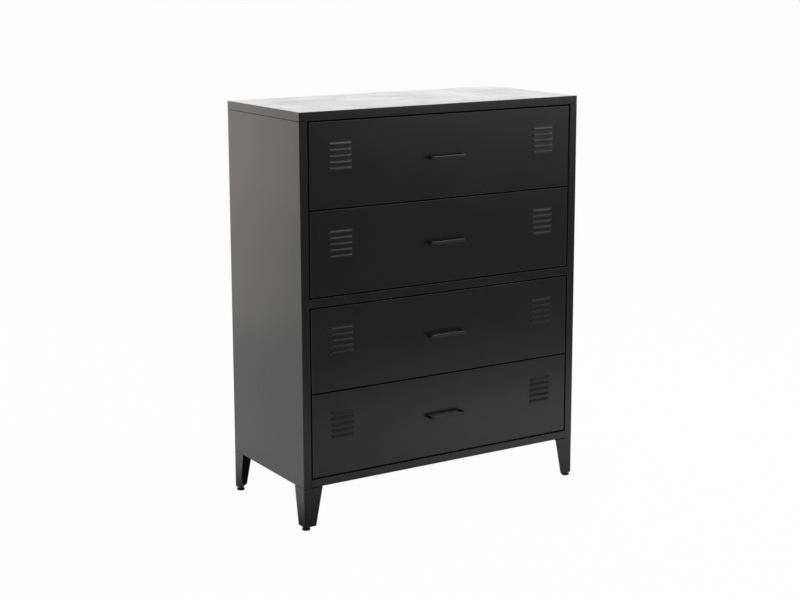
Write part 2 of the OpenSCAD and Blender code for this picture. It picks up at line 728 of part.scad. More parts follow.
// Drawer front: a pan folded back on all four edges, with a return round its back
module drawer_front(i) {
    x = [-front_w / 2, front_w / 2];
    y = [y_face, y_face + front_d];
    z = [front_z(i), front_z(i) + front_h];
    color(black) difference() {
        union() {
            difference() {
                block(x, y, z);
                block([x[0] + panel_t, x[1] - panel_t], [y[0] + panel_t, y[1] - panel_t],
                      [z[0] + panel_t, z[1] - panel_t]);
                block([x[0] + front_return, x[1] - front_return], [y[1] - panel_t - cut, y[1] + cut],
                      [z[0] + front_return, z[1] - front_return]);
                edge_x(x, y_face, z[1], 1, -1, bend_r);
                edge_x(x, y_face, z[0], 1, 1, bend_r);
                edge_z(x[0], y_face, z, 1, 1, bend_r);
                edge_z(x[1], y_face, z, -1, 1, bend_r);
            }
            at_louvres(i) louvre_hood();
        }
        at_louvres(i) louvre_space();
        for (s = [-1, 1]) {
            hole_y(s * handle_screw_x, [y_face, y_face + panel_t], z[0] + front_h / 2, screw_hole_r);
            for (zz = tab_screw_zs)
                hole_y(s * tab_screw_x, [y[1] - panel_t, y[1]], z[0] + box_lift + zz, tapped_r);
        }
    }
}

// Drawer box: floor, sides and back with a rim, joined to the front by side and floor tabs
module drawer_box(i) {
    x = [-x_box, x_box];
    y = [y_face + front_d, y_runner_end];
    z = [front_z(i) + box_lift, front_z(i) + box_lift + box_h];
    middle = front_z(i) + runner_z;
    tab_y = [y[0], y[0] + box_t];
    color(black) difference() {
        union() {
            block(x, y, [z[0], z[0] + box_t]);
            block(x, [y[1] - box_t, y[1]], z);
            block(x, [y[1] - box_rim, y[1]], [z[1] - box_t, z[1]]);
            block_pair([x_box - box_t, x_box], y, z);
            block_pair([x_box - box_rim, x_box], y, [z[1] - box_t, z[1]]);
            block_pair([x_box - box_t - box_tab, x_box], tab_y, z);
            block(x, tab_y, [z[0] - box_foot_tab, z[0] + box_t]);
        }
        for (s = [-1, 1]) {
            for (zz = tab_screw_zs) hole_y(s * tab_screw_x, tab_y, z[0] + zz, screw_hole_r);
            for (yy = runner_screw_ys)
                hole_x([s * x_box - box_t, s * x_box + box_t], yy, middle, screw_hole_r);
        }
    }
}

// Section of the handle bar, with rounded edges
module handle_section() {
    w = handle_t - 2 * handle_edge;
    h = handle_h - 2 * handle_edge;
    square([handle_t, h], center = true);
    square([w, handle_h], center = true);
    for (a = [-1, 1], b = [-1, 1]) translate([a * w / 2, b * h / 2]) circle(handle_edge);
}

// Handle: a bow bent from solid bar, tapped at both ends for screws from inside the drawer
module handle(i) {
    reach = handle_bend + handle_t / 2;
    leg_l = handle_out - reach;
    half = handle_w / 2 - reach;
    middle = front_z(i) + front_h / 2;
    thread_l = screw_l - panel_t + thread_spare;
    color(black) translate([0, y_face, middle]) difference() {
        union() {
            translate([-half, -handle_out + handle_t / 2, 0]) rotate([90, 0, 90])
                linear_extrude(2 * half) handle_section();
            for (right = [false, true]) flip_x(!right) {
                translate([half, -leg_l, 0]) rotate([0, 0, -90]) rotate_extrude(angle = 90)
                    translate([handle_bend, 0]) handle_section();
                translate([half + handle_bend, 0, 0]) rotate([90, 0, 0])
                    linear_extrude(leg_l) handle_section();
            }
        }
        for (s = [-1, 1]) hole_y(s * handle_screw_x, [cut - thread_l, 0], 0, tapped_r);
    }
}

// Small screws of one drawer: the handle's, the box's tabs' and the runners'
module drawer_screws(i) {
    bottom = front_z(i);
    color(zinc) for (s = [-1, 1]) {
        translate([s * handle_screw_x, y_face + panel_t, bottom + front_h / 2])
            rotate([90, 0, 0]) small_screw();
        for (zz = tab_screw_zs)
            translate([s * tab_screw_x, y_face + front_d + box_t, bottom + box_lift + zz])
                rotate([90, 0, 0]) small_screw();
        for (yy = runner_screw_ys)
            translate([s * (x_box - box_t), yy, bottom + runner_z]) rotate([0, s * 90, 0]) small_screw();
    }
}

// ---------------------------------------------------------------- assembly

top_panel();
left_side_panel();
right_side_panel();
back_panel();
bottom_panel();
middle_rail();
panel_screws();
leg_screws();
leg_nuts();
foot_nuts();
for (c = CORNERS) {
    leg(c);
    foot_pad(c);
    foot_stud(c);
}
for (i = DRAWERS) {
    cabinet_runner(i);
    mirror([1, 0, 0]) cabinet_runner(i);
    drawer_runner(i);
    mirror([1, 0, 0]) drawer_runner(i);
    ball_cages(i);
    drawer_front(i);
    drawer_box(i);
    handle(i);
    drawer_screws(i);
}
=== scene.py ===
import bpy, bmesh, math, random
from mathutils import Vector, Matrix


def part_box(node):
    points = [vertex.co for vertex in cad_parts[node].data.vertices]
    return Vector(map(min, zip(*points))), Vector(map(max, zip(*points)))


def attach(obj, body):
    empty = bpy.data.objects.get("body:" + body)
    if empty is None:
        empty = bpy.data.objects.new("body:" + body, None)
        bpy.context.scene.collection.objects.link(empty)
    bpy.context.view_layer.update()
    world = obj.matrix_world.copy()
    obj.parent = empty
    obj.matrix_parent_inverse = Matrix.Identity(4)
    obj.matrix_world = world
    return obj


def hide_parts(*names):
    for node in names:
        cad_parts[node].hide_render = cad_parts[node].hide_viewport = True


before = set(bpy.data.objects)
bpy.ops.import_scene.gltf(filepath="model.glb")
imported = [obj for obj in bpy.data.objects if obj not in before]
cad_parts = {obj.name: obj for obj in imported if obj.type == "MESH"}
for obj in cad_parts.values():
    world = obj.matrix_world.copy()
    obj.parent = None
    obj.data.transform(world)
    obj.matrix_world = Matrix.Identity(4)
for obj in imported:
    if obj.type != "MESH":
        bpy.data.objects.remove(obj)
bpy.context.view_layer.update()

scene = bpy.context.scene
scene.view_settings.view_transform = "Standard"

camera_place = (-2.1401, -3.3749, 1.3514)
camera_turn = math.radians(31.408)
camera_tilt = math.radians(10.424)
camera_roll = math.radians(0.266)
lens = bpy.data.cameras.new("camera")
lens.lens = 72.176
lens.sensor_width = 36
lens.shift_x, lens.shift_y = 0.025, -0.0625
lens.clip_start, lens.clip_end = 0.05, 60
camera = bpy.data.objects.new("camera", lens)
camera.matrix_world = (Matrix.Translation(camera_place)
                       @ Matrix.Rotation(-camera_turn, 4, "Z")
                       @ Matrix.Rotation(math.pi / 2 - camera_tilt, 4, "X")
                       @ Matrix.Rotation(-camera_roll, 4, "Z"))
scene.collection.objects.link(camera)
scene.camera = camera

# ---------------------------------------------------------------------------------------------
# Studio: a white paper floor that sweeps up into a backdrop behind the cabinet. What the steel
# mirrors of the paper is painted light: its glow is painted bright behind and to the left of the
# cabinet and in a pool before it, and painted dark under the cabinet and beyond, a painted shade.


def plain_object(name, points, faces):
    mesh = bpy.data.meshes.new(name)
    mesh.from_pydata(points, [], faces)
    made = bpy.data.objects.new(name, mesh)
    scene.collection.objects.link(made)
    return made


def new_material(name):
    made = bpy.data.materials.new(name)
    made.use_nodes = True
    tree = made.node_tree
    tree.nodes.clear()
    out = tree.nodes.new("ShaderNodeOutputMaterial")
    return made, tree, out


floor_front, floor_back = -4.5, 6.5
floor_left, floor_right = -6.5, 8.0
sweep_radius, sweep_top, sweep_steps = 1.6, 6.0, 12
profile = [(floor_front, 0.0), (floor_back - sweep_radius, 0.0)]
for step in range(1, sweep_steps + 1):
    turn = math.pi / 2 * step / sweep_steps
    profile.append((floor_back - sweep_radius + sweep_radius * math.sin(turn),
                    sweep_radius * (1 - math.cos(turn))))
profile.append((floor_back, sweep_top))
floor = plain_object("floor",
                     [(x, y, z) for y, z in profile for x in (floor_left, floor_right)],
                     [(2 * n, 2 * n + 1, 2 * n + 3, 2 * n + 2) for n in range(len(profile) - 1)])

paper, tree, paper_out = new_material("white_paper")
paper_white, paper_share = 0.5, 0.98                # diffuse colour, and the share that glows
# painted light: where the paper's glow, as the steel mirrors it, is painted bright, and how it
# fades
painted_pool_x, painted_pool_y, painted_pool_bright, painted_pool_dim = 0.75, -0.66, 0.15, 1.6
painted_pool_stretch = 2.2                                  # wider than it is deep, by this much
painted_rear_dim, painted_rear_bright = 0.15, 0.7
painted_left_dim, painted_left_bright = -0.4, -0.55
paper_diffuse = tree.nodes.new("ShaderNodeBsdfDiffuse")
paper_diffuse.inputs["Color"].default_value = (paper_white, paper_white, paper_white, 1)
paper_glow = tree.nodes.new("ShaderNodeEmission")
paper_mix = tree.nodes.new("ShaderNodeMixShader")
ray = tree.nodes.new("ShaderNodeLightPath")
where = tree.nodes.new("ShaderNodeNewGeometry")
split = tree.nodes.new("ShaderNodeSeparateXYZ")
squeezed = tree.nodes.new("ShaderNodeVectorMath")
squeezed.operation = "MULTIPLY"
squeezed.inputs[1].default_value = (1, painted_pool_stretch, 1)
from_painted_pool = tree.nodes.new("ShaderNodeVectorMath")
from_painted_pool.operation = "DISTANCE"
from_painted_pool.inputs[1].default_value = (painted_pool_x, painted_pool_y * painted_pool_stretch, 0)
tree.links.new(where.outputs["Position"], squeezed.inputs[0])
tree.links.new(squeezed.outputs["Vector"], from_painted_pool.inputs[0])
tree.links.new(where.outputs["Position"], split.inputs[0])


def ramp(value, start, end, falling):
    """Goes smoothly from 0 to 1 as the value passes from start to end, or down if falling"""
    made = tree.nodes.new("ShaderNodeMapRange")
    made.interpolation_type = "SMOOTHSTEP"
    made.inputs["From Min"].default_value = start
    made.inputs["From Max"].default_value = end
    made.inputs["To Min"].default_value = 1 if falling else 0
    made.inputs["To Max"].default_value = 0 if falling else 1
    tree.links.new(value, made.inputs["Value"])
    return made.outputs["Result"]


def work_out(operation, first, second):
    """A Math node; second is a socket or a number"""
    made = tree.nodes.new("ShaderNodeMath")
    made.operation = operation
    tree.links.new(first, made.inputs[0])
    if isinstance(second, float):
        made.inputs[1].default_value = second
    else:
        tree.links.new(second, made.inputs[1])
    return made.outputs[0]


# mirror rays see a painted glow: a bright pool, bright behind and left, painted shade under the
# cabinet
painted_pool = ramp(from_painted_pool.outputs["Value"], painted_pool_bright, painted_pool_dim, True)
rear = ramp(split.outputs["Y"], painted_rear_dim, painted_rear_bright, False)
left = ramp(split.outputs["X"], painted_left_bright, painted_left_dim, True)
painted_light = work_out("MAXIMUM", painted_pool, work_out("MAXIMUM", rear, left))
painted_reflection = work_out("MULTIPLY", ray.outputs["Is Glossy Ray"], painted_light)
seen = work_out("MAXIMUM", ray.outputs["Is Camera Ray"], painted_reflection)
tree.links.new(work_out("MULTIPLY", seen, paper_share), paper_mix.inputs[0])
tree.links.new(paper_diffuse.outputs[0], paper_mix.inputs[1])
tree.links.new(paper_glow.outputs[0], paper_mix.inputs[2])
tree.links.new(paper_mix.outputs[0], paper_out.inputs[0])
floor.data.materials.append(paper)

world = bpy.data.worlds.new("studio")
scene.world = world
world.use_nodes = True
sky = world.node_tree
sky.nodes.clear()
sky_out = sky.nodes.new("ShaderNodeOutputWorld")
sky_mix = sky.nodes.new("ShaderNodeMixShader")
room_grey = 0.15
room = sky.nodes.new("ShaderNodeBackground")
room.inputs["Color"].default_value = (room_grey, room_grey, room_grey, 1)
beyond = sky.nodes.new("ShaderNodeBackground")
beyond.inputs["Color"].default_value = (1, 1, 1, 1)
sky_path = sky.nodes.new("ShaderNodeLightPath")
sky.links.new(sky_path.outputs["Is Camera Ray"], sky_mix.inputs[0])
sky.links.new(room.outputs[0], sky_mix.inputs[1])
sky.links.new(beyond.outputs[0], sky_mix.inputs[2])
sky.links.new(sky_mix.outputs[0], sky_out.inputs[0])


def softbox(name, place, aim, size, glow, tint=(1, 1, 1)):
    """A soft lamp; glow is how bright its face is, where white paper is 1"""
    light = bpy.data.lights.new(name, "AREA")
    light.shape = "RECTANGLE"
    light.size, light.size_y = size
    light.energy = glow * math.pi * size[0] * size[1]
    light.color = tint
    made = bpy.data.objects.new(name, light)
    made.location = place
    made.rotation_euler = (Vector(aim) - Vector(place)).to_track_quat("-Z", "Y").to_euler()
    made.visible_camera = False
    scene.collection.objects.link(made)


softbox("overhead_softbox", (0.4, -0.1, 2.5), (0.4, -0.1, 0), (3.6, 2.5), 1.2)
softbox("strip_softbox", (1.0, -0.2, 2.45), (1.0, -0.2, 0), (2.2, 0.7), 3.2)
softbox("rear_softbox", (3.2, 4.4, 1.3), (0.4, 0, 1.0), (4.2, 1.8), 1.2)
warm = (1, 0.94, 0.87)
softbox("left_softbox", (-2.2, 4.3, 1.2), (-0.4, 0, 0.6), (2.6, 2.4), 0.35, warm)
softbox("low_left_softbox", (-0.7, 2.1, 0.75), (0.2, 0.3, 0.75), (1.6, 1.5), 0.48, warm)
softbox("front_right_softbox", (4.5, -4.65, 1.5), (0, 0, 0.8), (4.2, 2.2), 1.15)

# ---------------------------------------------------------------------------------------------
# Side panels: 0.8 mm steel, each skin folded twice at the front and twice at the back into a
# box post, with a flange along its top and its bottom. All the black steel is powder coated.

mm = 0.001
gauge = 0.8 * mm
bend, bend_steps = 1.5 * mm, 4
least_fold, crease = 0.3, math.radians(32)          # angles between faces, in radians
low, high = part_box("left_side_panel")
side_x, side_bottom, side_top = -low.x, low.z, high.z
front_y, side_rear = low.y, high.y
post_x = -high.x
front_post, rear_post = 40 * mm, 30 * mm
cheek_lift, side_relief = 1.9 * mm, 3 * mm
cheek_bottom = side_bottom + cheek_lift
side_top_flange, side_bottom_flange = 14 * mm, 20 * mm


def powder_coat(name, grey, gloss, peel):
    """Coat of one colour; gloss is about its roughness, and peel how strong its orange peel is"""
    smoother, rougher = 0.02, 0.03
    made, tree, out = new_material(name)
    coat = tree.nodes.new("ShaderNodeBsdfPrincipled")
    coat.inputs["Base Color"].default_value = (*grey, 1)
    spots = tree.nodes.new("ShaderNodeTexCoord")
    # how the gloss wanders over the sheet, in patches about a hand wide
    patches = tree.nodes.new("ShaderNodeTexNoise")
    patches.inputs["Scale"].default_value = 9
    patches.inputs["Detail"].default_value = 3
    patches.inputs["Roughness"].default_value = 0.6
    sheen = tree.nodes.new("ShaderNodeMapRange")
    sheen.inputs["From Min"].default_value = 0.3
    sheen.inputs["From Max"].default_value = 0.7
    sheen.inputs["To Min"].default_value = gloss - smoother
    sheen.inputs["To Max"].default_value = gloss + rougher
    # orange peel: shallow swells about 2 mm apart, with finer grain on them
    swells = tree.nodes.new("ShaderNodeTexNoise")
    swells.inputs["Scale"].default_value = 520
    swells.inputs["Detail"].default_value = 2.5
    swells.inputs["Roughness"].default_value = 0.45
    skin = tree.nodes.new("ShaderNodeBump")
    skin.inputs["Strength"].default_value = peel
    skin.inputs["Distance"].default_value = 0.00012
    for texture in (patches, swells):
        tree.links.new(spots.outputs["Object"], texture.inputs["Vector"])
    tree.links.new(patches.outputs["Fac"], sheen.inputs["Value"])
    tree.links.new(sheen.outputs["Result"], coat.inputs["Roughness"])
    tree.links.new(swells.outputs["Fac"], skin.inputs["Height"])
    tree.links.new(skin.outputs["Normal"], coat.inputs["Normal"])
    tree.links.new(coat.outputs[0], out.inputs[0])
    return made


black_coat = powder_coat("black_powder_coat", (0.0125, 0.0122, 0.0118), 0.25, 0.1)


def set_shading(piece):
    """Shades bends smooth, cut edges sharp and flat panels flat"""
    piece.data.shade_smooth()
    piece.data.set_sharp_from_angle(angle=crease)
    weights = piece.modifiers.new("flat_panels", "WEIGHTED_NORMAL")
    weights.keep_sharp = True


def apply_shape(piece):
    """Turns what a piece's modifiers make of it into its mesh"""
    bpy.context.view_layer.update()
    shaped = piece.evaluated_get(bpy.context.evaluated_depsgraph_get())
    mesh = bpy.data.meshes.new_from_object(shaped)
    piece.modifiers.clear()
    piece.data = mesh


def round_folds(shape, radius):
    """Rounds every edge where two panels meet at an angle"""
    folds = [e for e in shape.edges
             if len(e.link_faces) == 2 and e.calc_face_angle() > least_fold]
    bmesh.ops.bevel(shape, geom=folds, offset=radius, offset_type="OFFSET", segments=bend_steps,
                    profile=0.5, affect="EDGES", clamp_overlap=True)


def give_gauge(piece, thickness):
    """Thickens a sheet inwards from its outer faces"""
    plate = piece.modifiers.new("gauge", "SOLIDIFY")
    plate.thickness = thickness
    plate.offset = -1
    plate.use_even_offset = True
    plate.use_quality_normals = True
    apply_shape(piece)


def sheet_metal(name, points, panels, outward, radius=bend, thickness=gauge, add=None):
    """Folds a piece from one sheet. The panels are its outer faces, and outward is the first
    panel's direction; the folds are rounded, and the steel's thickness goes inside."""
    shape = bmesh.new()
    corners = [shape.verts.new(p) for p in points]
    first = shape.faces.new([corners[n] for n in panels[0]])
    for panel in panels[1:]:
        shape.faces.new([corners[n] for n in panel])
    bmesh.ops.recalc_face_normals(shape, faces=shape.faces)
    first.normal_update()
    if first.normal.dot(Vector(outward)) < 0:
        bmesh.ops.reverse_faces(shape, faces=shape.faces)
    round_folds(shape, radius)
    if add:
        add(shape)
    mesh = bpy.data.meshes.new(name)
    shape.to_mesh(mesh)
    shape.free()
    piece = bpy.data.objects.new(name, mesh)
    scene.collection.objects.link(piece)
    give_gauge(piece, thickness)
    return piece


def fit(piece, body, finish, slot, *nodes):
    """Puts a piece on its body in its finish, in place of the CAD nodes that it stands for"""
    piece.data.materials.clear()
    piece.data.materials.append(finish)
    set_shading(piece)
    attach(piece, body)
    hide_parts(*nodes)


def side_panel(name, s):
    """One side with its posts; s is -1 for the left one and 1 for the right one"""
    x, p = s * side_x, s * post_x
    bottom, top, cheek = side_bottom, side_top, cheek_bottom
    front, rear = front_y, side_rear
    f, r = front + side_relief, rear - side_relief
    points = [(p, front + front_post, cheek), (p, front + front_post, top),     # 0 front cheek
              (p, front, bottom), (p, front, cheek), (p, front, top),           # 2 post's edge
              (x, front, bottom), (x, front, top),                              # 5 front corner
              (x, f, bottom), (x, f, top), (x, r, bottom), (x, r, top),         # 7 flanges' ends
              (x, rear, bottom), (x, rear, top),                                # 11 rear corner
              (p, rear, bottom), (p, rear, cheek), (p, rear, top),              # 13 rear post
              (p, rear - rear_post, cheek), (p, rear - rear_post, top),         # 16 rear cheek
              (x - s * side_top_flange, f, top), (x - s * side_top_flange, r, top),
              (x - s * side_bottom_flange, f, bottom), (x - s * side_bottom_flange, r, bottom)]
    panels = [(5, 7, 9, 11, 12, 10, 8, 6), (0, 3, 4, 1), (2, 5, 6, 4, 3), (11, 13, 14, 15, 12),
              (14, 16, 17, 15), (8, 10, 19, 18), (7, 20, 21, 9)]
    return sheet_metal(name, points, panels, (s, 0, 0))


for side, s in (("left", -1), ("right", 1)):
    fit(side_panel(side + "_side", s), "cabinet", black_coat, "black_steel", side + "_side_panel")

# ---------------------------------------------------------------------------------------------
# Bottom panel: the floor of the body, folded up along all its edges. Its front fold is the strip
# below the bottom drawer, which turns back along its top. It lies on the side panels' flanges.

low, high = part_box("bottom_panel")
floor_x, floor_front_y, floor_rear_y = high.x, low.y, high.y
floor_z, flange_top = low.z, high.z
floor_step = 1.9 * mm
strip_gap, strip_high, strip_return, strip_bend = 0.3 * mm, 20 * mm, 15 * mm, 1.0 * mm
strip_x, strip_top = post_x - strip_gap, side_bottom + strip_high
a, b = floor_front_y + floor_step, floor_rear_y - floor_step
points = [(-strip_x, floor_front_y, floor_z), (strip_x, floor_front_y, floor_z),
          (strip_x, a, floor_z), (floor_x, a, floor_z), (floor_x, b, floor_z),
          (strip_x, b, floor_z), (strip_x, floor_rear_y, floor_z),
          (-strip_x, floor_rear_y, floor_z), (-strip_x, b, floor_z), (-floor_x, b, floor_z),
          (-floor_x, a, floor_z), (-strip_x, a, floor_z),
          (-strip_x, floor_front_y, strip_top), (strip_x, floor_front_y, strip_top),
          (-strip_x, floor_front_y + strip_return, strip_top),
          (strip_x, floor_front_y + strip_return, strip_top),
          (-strip_x, floor_rear_y, flange_top), (strip_x, floor_rear_y, flange_top),
          (-floor_x, a, flange_top), (-floor_x, b, flange_top),
          (floor_x, a, flange_top), (floor_x, b, flange_top)]
panels = [tuple(range(12)), (0, 1, 13, 12), (12, 13, 15, 14), (7, 6, 17, 16), (10, 9, 19, 18),
          (3, 4, 21, 20)]
fit(sheet_metal("cabinet_floor", points, panels, (0, 0, -1), strip_bend), "cabinet", black_coat,
    "black_steel", "bottom_panel")

# ---------------------------------------------------------------------------------------------
# Middle rail: a shallow tray folded from one strip, open at its back, with an end tab screwed to
# each post. It stiffens the front between the second and third drawers.

low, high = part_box("middle_rail")
x, front, back, bottom, top = high.x, low.y, high.y, low.z, high.z
rail_bend = 1.2 * mm
points = [(-x, front, bottom), (x, front, bottom), (x, front, top), (-x, front, top),
          (-x, back, bottom), (x, back, bottom), (x, back, top), (-x, back, top)]
panels = [(0, 1, 2, 3), (3, 2, 6, 7), (0, 1, 5, 4), (0, 3, 7, 4), (1, 2, 6, 5)]
fit(sheet_metal("mid_rail", points, panels, (0, -1, 0), rail_bend), "cabinet", black_coat,
    "black_steel", "middle_rail")

# ---------------------------------------------------------------------------------------------
# Back panel: one flat sheet screwed to the rear posts, stiffened by two beads that are pressed
# into it with rounded ends and softly sloping walls.

low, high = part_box("back_panel")
back_x, back_y, back_bottom, back_top = high.x, high.y, low.z, high.z
bead_x, bead_half, bead_depth, bead_end = 200 * mm, 13 * mm, 2.9 * mm, 45 * mm
bead_wall, bead_wall_steps, bead_turn_steps = 6 * mm, 6, 10


def bead_ring(centre, half, depth):
    """A bead's outline, a slot with round ends, at one depth"""
    ring = []
    for up in (1, -1):
        reach = bead_end + bead_half
        middle = back_top - reach if up > 0 else back_bottom + reach
        for n in range(bead_turn_steps + 1):
            turn = math.pi * n / bead_turn_steps
            ring.append((centre + up * half * math.cos(turn), back_y - depth,
                         middle + up * half * math.sin(turn)))
    return ring


def fill_flat(shape, loops, normal):
    """Closes the flat part of a sheet between its outline and the openings in it"""
    edges = [e for loop in loops for e in loop]
    bmesh.ops.triangle_fill(shape, edges=edges, use_beauty=True, normal=normal)


def ring_edges(shape, ring):
    """The edges between the neighbours of a ring, made where they are missing"""
    return [shape.edges.get((a, b)) or shape.edges.new((a, b))
            for a, b in zip(ring, ring[1:] + ring[:1])]


shape = bmesh.new()
outline = [shape.verts.new((x, back_y, z))
           for x, z in ((-back_x, back_bottom), (back_x, back_bottom), (back_x, back_top),
                        (-back_x, back_top))]
loops = [ring_edges(shape, outline)]
for s in (-1, 1):
    rings = []
    for step in range(bead_wall_steps + 1):
        t = step / bead_wall_steps
        ring = bead_ring(s * bead_x, bead_half - bead_wall * t, bead_depth * t * t * (3 - 2 * t))
        rings.append([shape.verts.new(p) for p in ring])
    loops.append(ring_edges(shape, rings[0]))
    for outer, inner in zip(rings, rings[1:]):
        for n in range(len(outer)):
            m = (n + 1) % len(outer)
            shape.faces.new((outer[n], outer[m], inner[m], inner[n]))
    shape.faces.new(rings[-1])
fill_flat(shape, loops, (0, 1, 0))
bmesh.ops.recalc_face_normals(shape, faces=shape.faces)
if max(shape.faces, key=lambda f: f.calc_area()).normal.y < 0:
    bmesh.ops.reverse_faces(shape, faces=shape.faces)
mesh = bpy.data.meshes.new("back_sheet")
shape.to_mesh(mesh)
shape.free()
back_sheet = bpy.data.objects.new("back_sheet", mesh)
scene.collection.objects.link(back_sheet)
give_gauge(back_sheet, gauge)
fit(back_sheet, "cabinet", black_coat, "black_steel", "back_panel")

# ---------------------------------------------------------------------------------------------
# Cap: a lid folded down on all four sides, its corners welded and ground round, with a return
# folded in along the bottom of the skirt. It drops over the body and leaves a thin seam.

low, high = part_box("top_panel")
cap_return = 12 * mm


def tray(low, high, turned_in, mouth):
    """Corners and panels of a box folded from sheet, open at its mouth but for a turned-in rim"""
    axis = "xyz".index(mouth[1])
    near, far = (low, high) if mouth[0] == "+" else (high, low)
    across = [n for n in range(3) if n != axis]
    points = []
    for level, inset in ((near[axis], 0), (far[axis], 0), (far[axis], turned_in)):
        for u, v in ((0, 0), (1, 0), (1, 1), (0, 1)):
            p = [0, 0, 0]
            p[axis] = level
            p[across[0]] = high[across[0]] - inset if u else low[across[0]] + inset
            p[across[1]] = high[across[1]] - inset if v else low[across[1]] + inset
            points.append(tuple(p))
    panels = [(0, 1, 2, 3)]
    for n in range(4):
        m = (n + 1) % 4
        panels += [(n, m, m + 4, n + 4), (n + 4, m + 4, m + 8, n + 8)]
    return points, panels


points, panels = tray(low, high, cap_return, "-z")
fit(sheet_metal("cap", points, panels, (0, 0, 1)), "cabinet", black_coat, "black_steel",
    "top_panel")

# ---------------------------------------------------------------------------------------------
# Legs: 1.5 mm steel, each with two tapered sides that meet in a fold at the corner, a plate
# folded in at the top that bolts to the body, and a small one at the foot that takes the stud.

leg_gauge, leg_bend = 1.5 * mm, 2 * mm
leg_cut = 23 * mm
leg_foot_x, leg_foot_y = 32 * mm, 29 * mm
corners = {"front_left": (-1, -1), "front_right": (1, -1), "rear_left": (-1, 1),
           "rear_right": (1, 1)}
for corner, (sx, sy) in corners.items():
    low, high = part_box("leg_" + corner)
    x = high.x if sx > 0 else low.x
    y = high.y if sy > 0 else low.y
    wide, deep, bottom, top = high.x - low.x, high.y - low.y, low.z, high.z
    ix, iy = -sx, -sy
    points = [(x, y, bottom), (x, y, top),
              (x + ix * leg_foot_x, y, bottom), (x + ix * wide, y, top),
              (x, y + iy * leg_foot_y, bottom), (x, y + iy * deep, top),
              (x + ix * wide, y + iy * (deep - leg_cut), top),
              (x + ix * (wide - leg_cut), y + iy * deep, top)]
    panels = [(0, 2, 3, 1), (0, 1, 5, 4), (1, 3, 6, 7, 5), (0, 4, 2)]
    fit(sheet_metal(corner + "_leg", points, panels, (0, sy, 0), leg_bend, leg_gauge), "cabinet",
        black_coat, "black_steel", "leg_" + corner)

# ---------------------------------------------------------------------------------------------
# Screws: zinc-plated pan heads with a cross recess, one size for the panels and the drawers and
# a larger one for the legs. The nuts are plain chamfered hexagons; the feet's are yellow zinc.


def zinc_plate(name, tone, rough):
    """Plated steel, clouded between a darker and a lighter tone and with a fine spangle"""
    darker, lighter = 0.82, 1.12
    smoother, rougher = 0.06, 0.10
    made, tree, out = new_material(name)
    metal = tree.nodes.new("ShaderNodeBsdfPrincipled")
    metal.inputs["Metallic"].default_value = 1
    spots = tree.nodes.new("ShaderNodeTexCoord")
    grain = tree.nodes.new("ShaderNodeTexVoronoi")
    grain.inputs["Scale"].default_value = 220
    cloud = tree.nodes.new("ShaderNodeTexNoise")
    cloud.inputs["Scale"].default_value = 35
    cloud.inputs["Detail"].default_value = 4
    shade = tree.nodes.new("ShaderNodeMapRange")
    shade.inputs["From Min"].default_value = 0.25
    shade.inputs["From Max"].default_value = 0.75
    tint = tree.nodes.new("ShaderNodeMix")
    tint.data_type = "RGBA"
    tint.inputs["A"].default_value = (*[c * darker for c in tone], 1)
    tint.inputs["B"].default_value = (*[min(1, c * lighter) for c in tone], 1)
    dull = tree.nodes.new("ShaderNodeMapRange")
    dull.inputs["To Min"].default_value = rough - smoother
    dull.inputs["To Max"].default_value = rough + rougher
    skin = tree.nodes.new("ShaderNodeBump")
    skin.inputs["Strength"].default_value = 0.15
    skin.inputs["Distance"].default_value = 0.00005
    for texture in (grain, cloud):
        tree.links.new(spots.outputs["Object"], texture.inputs["Vector"])
    tree.links.new(cloud.outputs["Fac"], shade.inputs["Value"])
    tree.links.new(shade.outputs["Result"], tint.inputs["Factor"])
    tree.links.new(tint.outputs["Result"], metal.inputs["Base Color"])
    tree.links.new(grain.outputs["Color"], dull.inputs["Value"])
    tree.links.new(dull.outputs["Result"], metal.inputs["Roughness"])
    tree.links.new(cloud.outputs["Fac"], skin.inputs["Height"])
    tree.links.new(skin.outputs["Normal"], metal.inputs["Normal"])
    tree.links.new(metal.outputs[0], out.inputs[0])
    return made


bright_zinc = zinc_plate("bright_zinc", (0.60, 0.61, 0.63), 0.30)
yellow_zinc = zinc_plate("yellow_zinc", (0.52, 0.42, 0.26), 0.34)


def turned(profile, steps, thread=None):
    """A shape turned on a lathe about Z from (radius, height) pairs; thread gives the helix"""
    shape = bmesh.new()
    rings = []
    for radius, height in profile:
        if radius == 0:
            rings.append([shape.verts.new((0, 0, height))])
            continue
        ring = []
        for n in range(steps):
            turn = 2 * math.pi * n / steps
            r = thread(radius, height, turn) if thread else radius
            ring.append(shape.verts.new((r * math.cos(turn), r * math.sin(turn), height)))
        rings.append(ring)
    for lower, upper in zip(rings, rings[1:]):
        for n in range(steps):
            m = (n + 1) % steps
            if len(lower) == 1:
                shape.faces.new((lower[0], upper[m], upper[n]))
            elif len(upper) == 1:
                shape.faces.new((lower[n], lower[m], upper[0]))
            else:
                shape.faces.new((lower[n], lower[m], upper[m], upper[n]))
    bmesh.ops.recalc_face_normals(shape, faces=shape.faces)
    mesh = bpy.data.meshes.new("turned")
    shape.to_mesh(mesh)
    shape.free()
    return mesh


def ridges(pitch, depth):
    """Thread: how a radius changes with height and turn"""
    def at(radius, height, turn):
        phase = (height / pitch - turn / (2 * math.pi)) % 1
        return radius - depth * abs(2 * phase - 1)
    return at


def threaded_rod(radius, bottom, top, pitch):
    """Profile of a threaded length, with four rings to a ridge"""
    count = max(4, int((top - bottom) / pitch * 4))
    return [(radius, bottom + (top - bottom) * n / count) for n in range(count + 1)]


